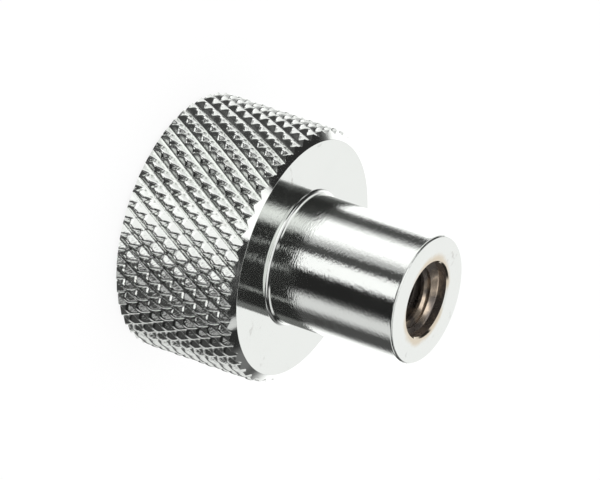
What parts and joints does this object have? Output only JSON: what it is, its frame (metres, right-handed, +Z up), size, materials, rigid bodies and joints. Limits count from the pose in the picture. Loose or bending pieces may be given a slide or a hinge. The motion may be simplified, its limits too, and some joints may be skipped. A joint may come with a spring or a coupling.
{
  "type": "knurled knob",
  "caption": "Round diamond-knurled metal knob with chamfered head edges, a plain neck with a chamfered end, and a counterbored blind threaded hole in the neck.",
  "frame": {"origin": "centre of the flat outer face of the head, on which the knob stands", "axes": "+Z up the knob's axis, out through the neck and the mouth of the threaded hole; +X through a knurl tooth"},
  "size_m": [0.019, 0.019, 0.0205],
  "materials": {
    "plating": "bright plating over turned and knurled brass"
  },
  "bodies": {
    "root": {"knurled_knob": "plating"}
  },
  "joints": []
}
